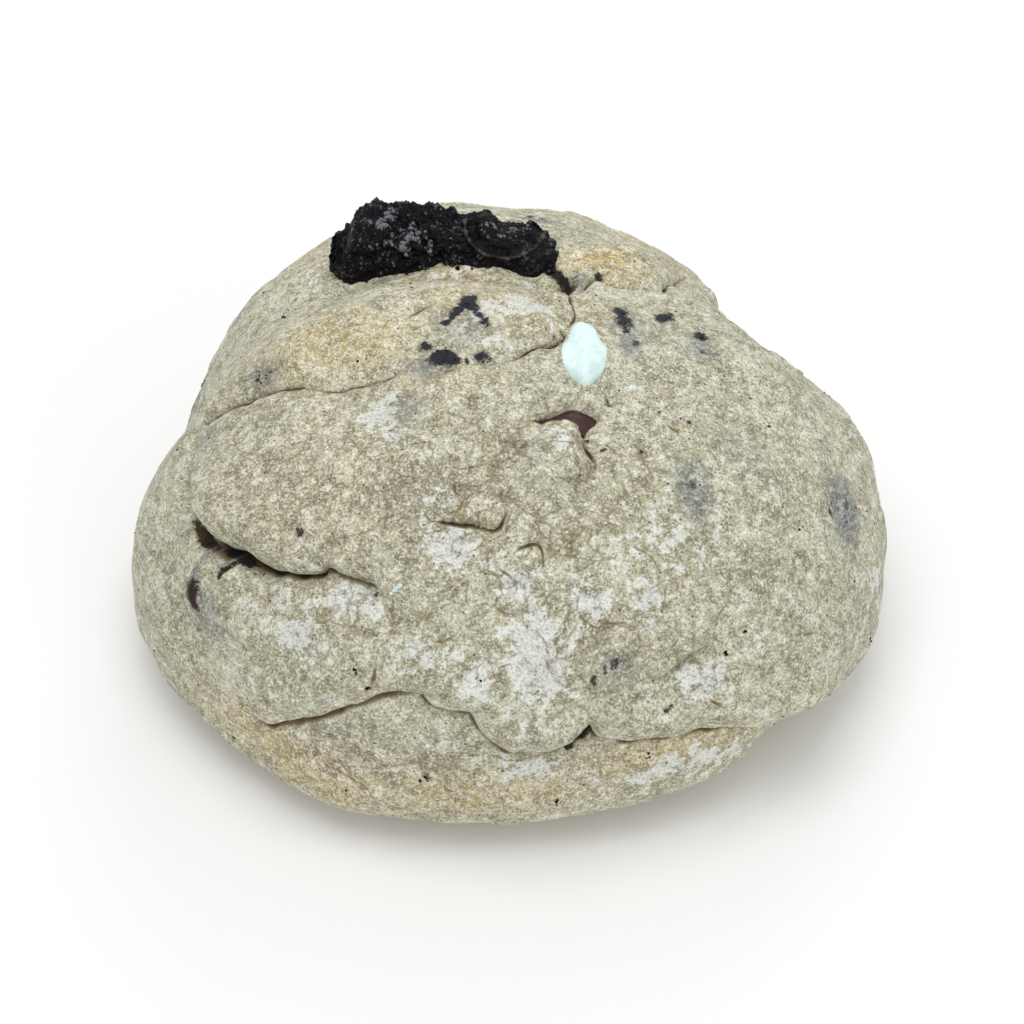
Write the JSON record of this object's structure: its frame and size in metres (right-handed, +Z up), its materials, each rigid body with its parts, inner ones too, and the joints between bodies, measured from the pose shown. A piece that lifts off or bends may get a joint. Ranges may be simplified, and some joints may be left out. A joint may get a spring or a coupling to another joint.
{
  "type": "cookies-and-cream drop cookie",
  "caption": "Thick soft-baked cookie of folded pale dough with a broken dark chocolate wafer standing in its top and white and milk chocolate chips in its skin.",
  "frame": {"origin": "on the floor under the middle of the cookie's box", "axes": "+Z up, out of the top; +X to the right and -Y towards somebody who looks at the front, the side with the deep fold"},
  "size_m": [0.0949, 0.0898, 0.0485],
  "materials": {
    "baked_dough": "matte, sandy baked dough with paler bloom and golden tops",
    "chocolate_wafer": "matte, crumbly near-black baked wafer",
    "white_chocolate": "satin white chocolate",
    "milk_chocolate": "soft gloss melted milk chocolate"
  },
  "bodies": {
    "root": {"cookie_dough": "baked_dough", "wafer_piece": "chocolate_wafer", "white_chip_front": "white_chocolate", "white_chip_side": "white_chocolate", "white_chip_rear": "white_chocolate", "milk_chunk_centre": "milk_chocolate", "milk_chip_left": "milk_chocolate", "milk_chip_rear": "milk_chocolate"}
  },
  "joints": []
}
